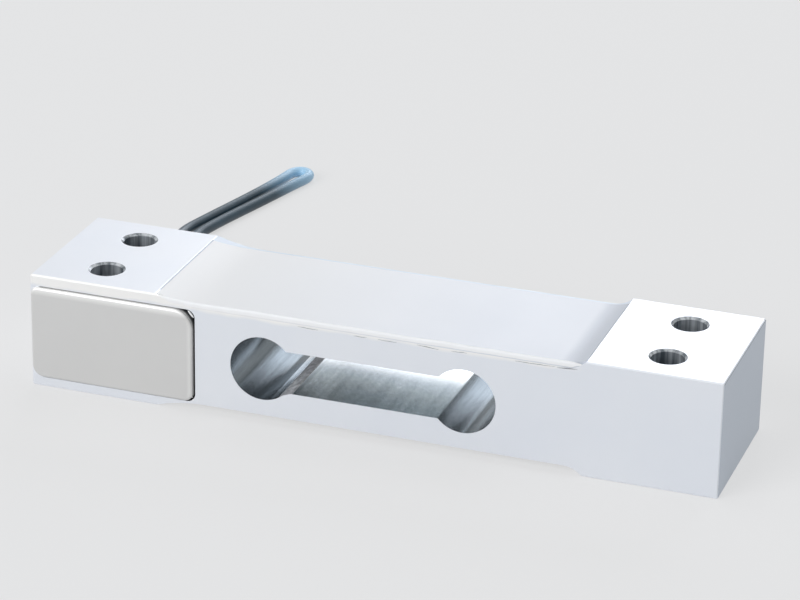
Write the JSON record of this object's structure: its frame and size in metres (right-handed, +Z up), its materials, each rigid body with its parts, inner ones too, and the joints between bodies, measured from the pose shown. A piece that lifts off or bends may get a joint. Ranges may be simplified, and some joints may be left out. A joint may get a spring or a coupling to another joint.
{
  "type": "single point load cell",
  "caption": "Aluminium single point load cell: a slotted bending beam with tapped mounting holes, a sealed gauge pocket and a thin signal cable.",
  "frame": {"origin": "centre of the beam's underside outline, on the plane of its lower pads", "axes": "+X along the beam away from the cable end, +Y towards the cable's exit, +Z up to the load face"},
  "size_m": [0.1336, 0.117, 0.022],
  "materials": {
    "beam_aluminium": "fine bead-blasted, clear anodised",
    "lid_metal": "satin sheet",
    "sealant": "smooth cured sealant",
    "gauge_film": "thin amber film",
    "copper_foil": "bare copper foil",
    "enamel_wire": "enamelled wire",
    "circuit_board": "lacquered laminate",
    "foam_tape": "soft foam tape",
    "resistor_body": "glazed chip",
    "cable_jacket": "smooth flexible jacket",
    "grommet_rubber": "moulded rubber",
    "tie_plastic": "moulded nylon",
    "sleeve_plastic": "shrunk sleeve",
    "insulation_red": "extruded insulation",
    "insulation_black": "extruded insulation",
    "insulation_green": "extruded insulation",
    "insulation_white": "extruded insulation",
    "tinned_braid": "tinned strands"
  },
  "bodies": {
    "root": {"beam": "beam_aluminium", "board_tape": "foam_tape", "bridge_board": "circuit_board", "cable": "cable_jacket", "cable_coil": "cable_jacket", "cable_grommet": "grommet_rubber", "cable_lead_in": "cable_jacket", "cable_tail": "cable_jacket", "coil_tie": "tie_plastic", "core_black": "insulation_black", "core_green": "insulation_green", "core_red": "insulation_red", "core_white": "insulation_white", "cover_seal": "sealant", "end_sleeve": "sleeve_plastic", "feed_top": "enamel_wire", "feed_under": "enamel_wire", "gauge_top_left": "gauge_film", "gauge_top_right": "gauge_film", "gauge_under_left": "gauge_film", "gauge_under_right": "gauge_film", "lead_black": "insulation_black", "lead_drain": "tinned_braid", "lead_green": "insulation_green", "lead_red": "insulation_red", "lead_white": "insulation_white", "link_top_far": "copper_foil", "link_top_near": "copper_foil", "link_under_far": "copper_foil", "link_under_near": "copper_foil", "pocket_cover": "lid_metal", "span_resistor": "resistor_body", "strip_top": "sealant", "strip_under": "sealant", "tab_top": "copper_foil", "tab_under": "copper_foil", "temperature_resistor": "copper_foil", "zero_resistor": "resistor_body"}
  },
  "joints": []
}
